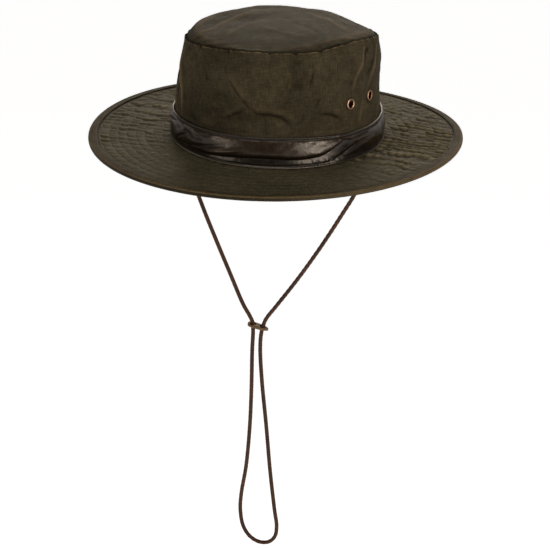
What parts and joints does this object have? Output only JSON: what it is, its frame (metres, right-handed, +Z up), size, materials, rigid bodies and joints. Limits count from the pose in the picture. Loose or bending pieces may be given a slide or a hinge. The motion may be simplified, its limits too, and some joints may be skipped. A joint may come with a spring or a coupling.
{
  "type": "waxed cotton hat",
  "caption": "Round-crowned waxed cotton hat with a leather band, a wide stitched brim, vent eyelets and a chin cord with a slider.",
  "frame": {"origin": "centre of the head opening, in the mean plane where the crown meets the brim", "axes": "+Z up along the crown, -Y towards the front of the hat, +X towards the wearer's left"},
  "size_m": [0.3208, 0.3416, 0.5059],
  "materials": {
    "waxed_cotton": "waxed cotton, olive brown, dull with a faint sheen, lighter where the folds are rubbed",
    "binding_cotton": "folded waxed cotton tape, olive brown, its edge rubbed lighter",
    "band_leather": "smooth dark brown leather, satin, with fine creases and a stitched edge",
    "tab_leather": "plain dark brown leather",
    "slider_leather": "thick olive brown leather, rubbed light on its edges",
    "brass": "antique copper-toned brass, worn bright on the rims",
    "cord": "round braided cord, dark brown, matt"
  },
  "bodies": {
    "root": {"crown_side": "waxed_cotton", "crown_tip": "waxed_cotton", "hat_band": "band_leather", "brim": "waxed_cotton", "brim_binding": "binding_cotton", "eyelet_left_front": "brass", "eyelet_left_back": "brass", "eyelet_right_front": "brass", "eyelet_right_back": "brass", "chin_cord": "cord", "cord_slider": "slider_leather", "cord_tab_left": "tab_leather", "cord_tab_right": "tab_leather"}
  },
  "joints": []
}
